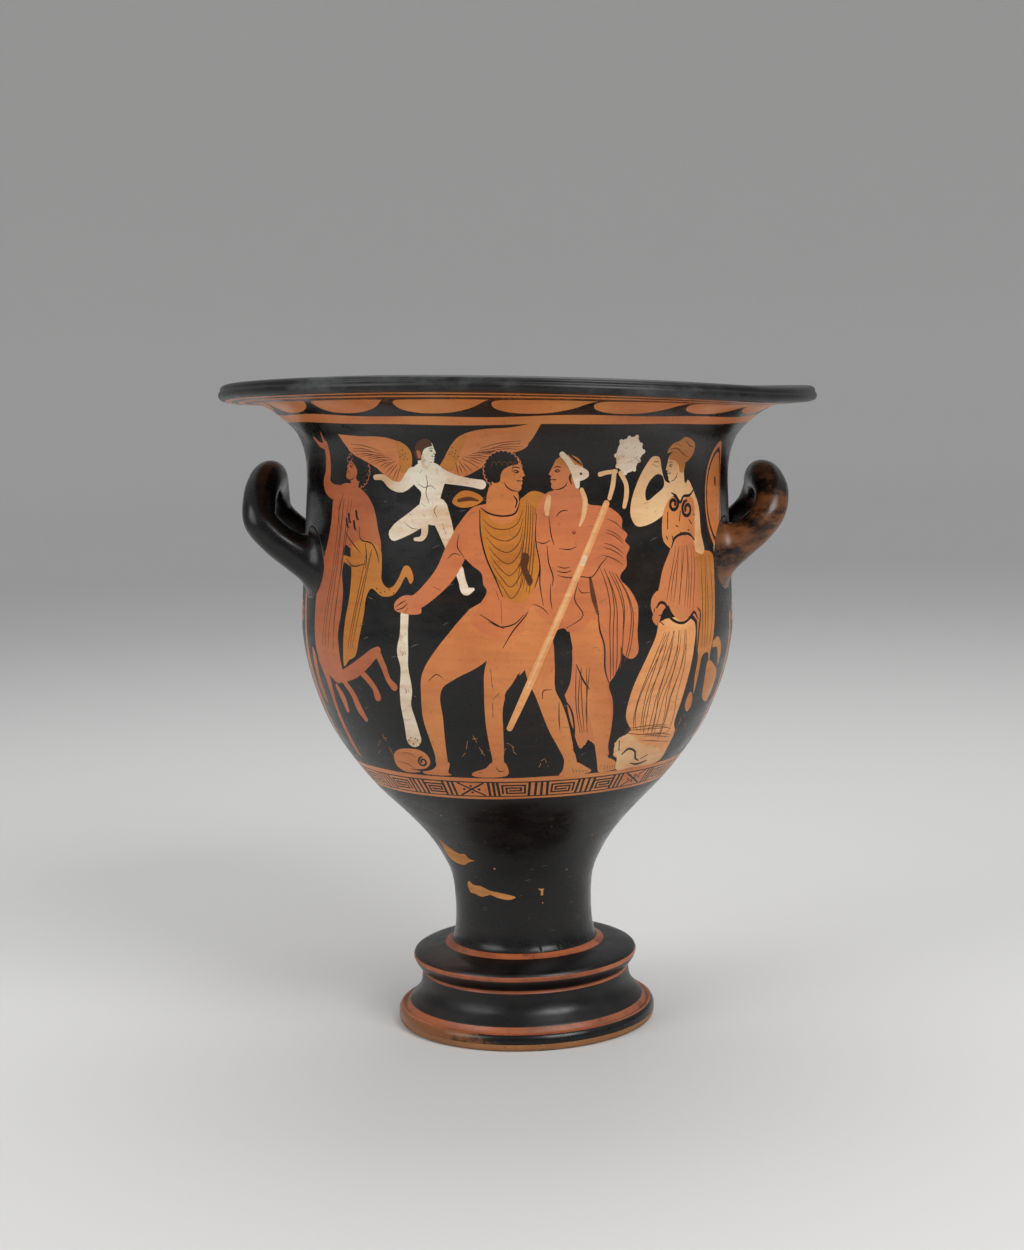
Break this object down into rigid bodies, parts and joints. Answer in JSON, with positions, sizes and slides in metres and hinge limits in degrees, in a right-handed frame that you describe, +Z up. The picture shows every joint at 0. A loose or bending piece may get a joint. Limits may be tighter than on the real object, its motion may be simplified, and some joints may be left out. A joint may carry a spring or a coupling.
{
  "type": "bell krater",
  "caption": "Wide-mouthed pottery mixing bowl on a stemmed disc foot, with a flaring lip, upturned loop handles and red-figure painted decoration.",
  "frame": {"origin": "centre of the bounding box, at the underside the foot rests on", "axes": "+Z up; the painted front faces -Y; the handles lie on the X axis; the bowl sags slightly towards +X"},
  "size_m": [0.368, 0.368, 0.407],
  "materials": {
    "glazed_clay": "glossy black slip over orange fired clay, with reserved orange figures, touches of white and worn patches"
  },
  "bodies": {
    "root": {"krater": "glazed_clay"}
  },
  "joints": []
}
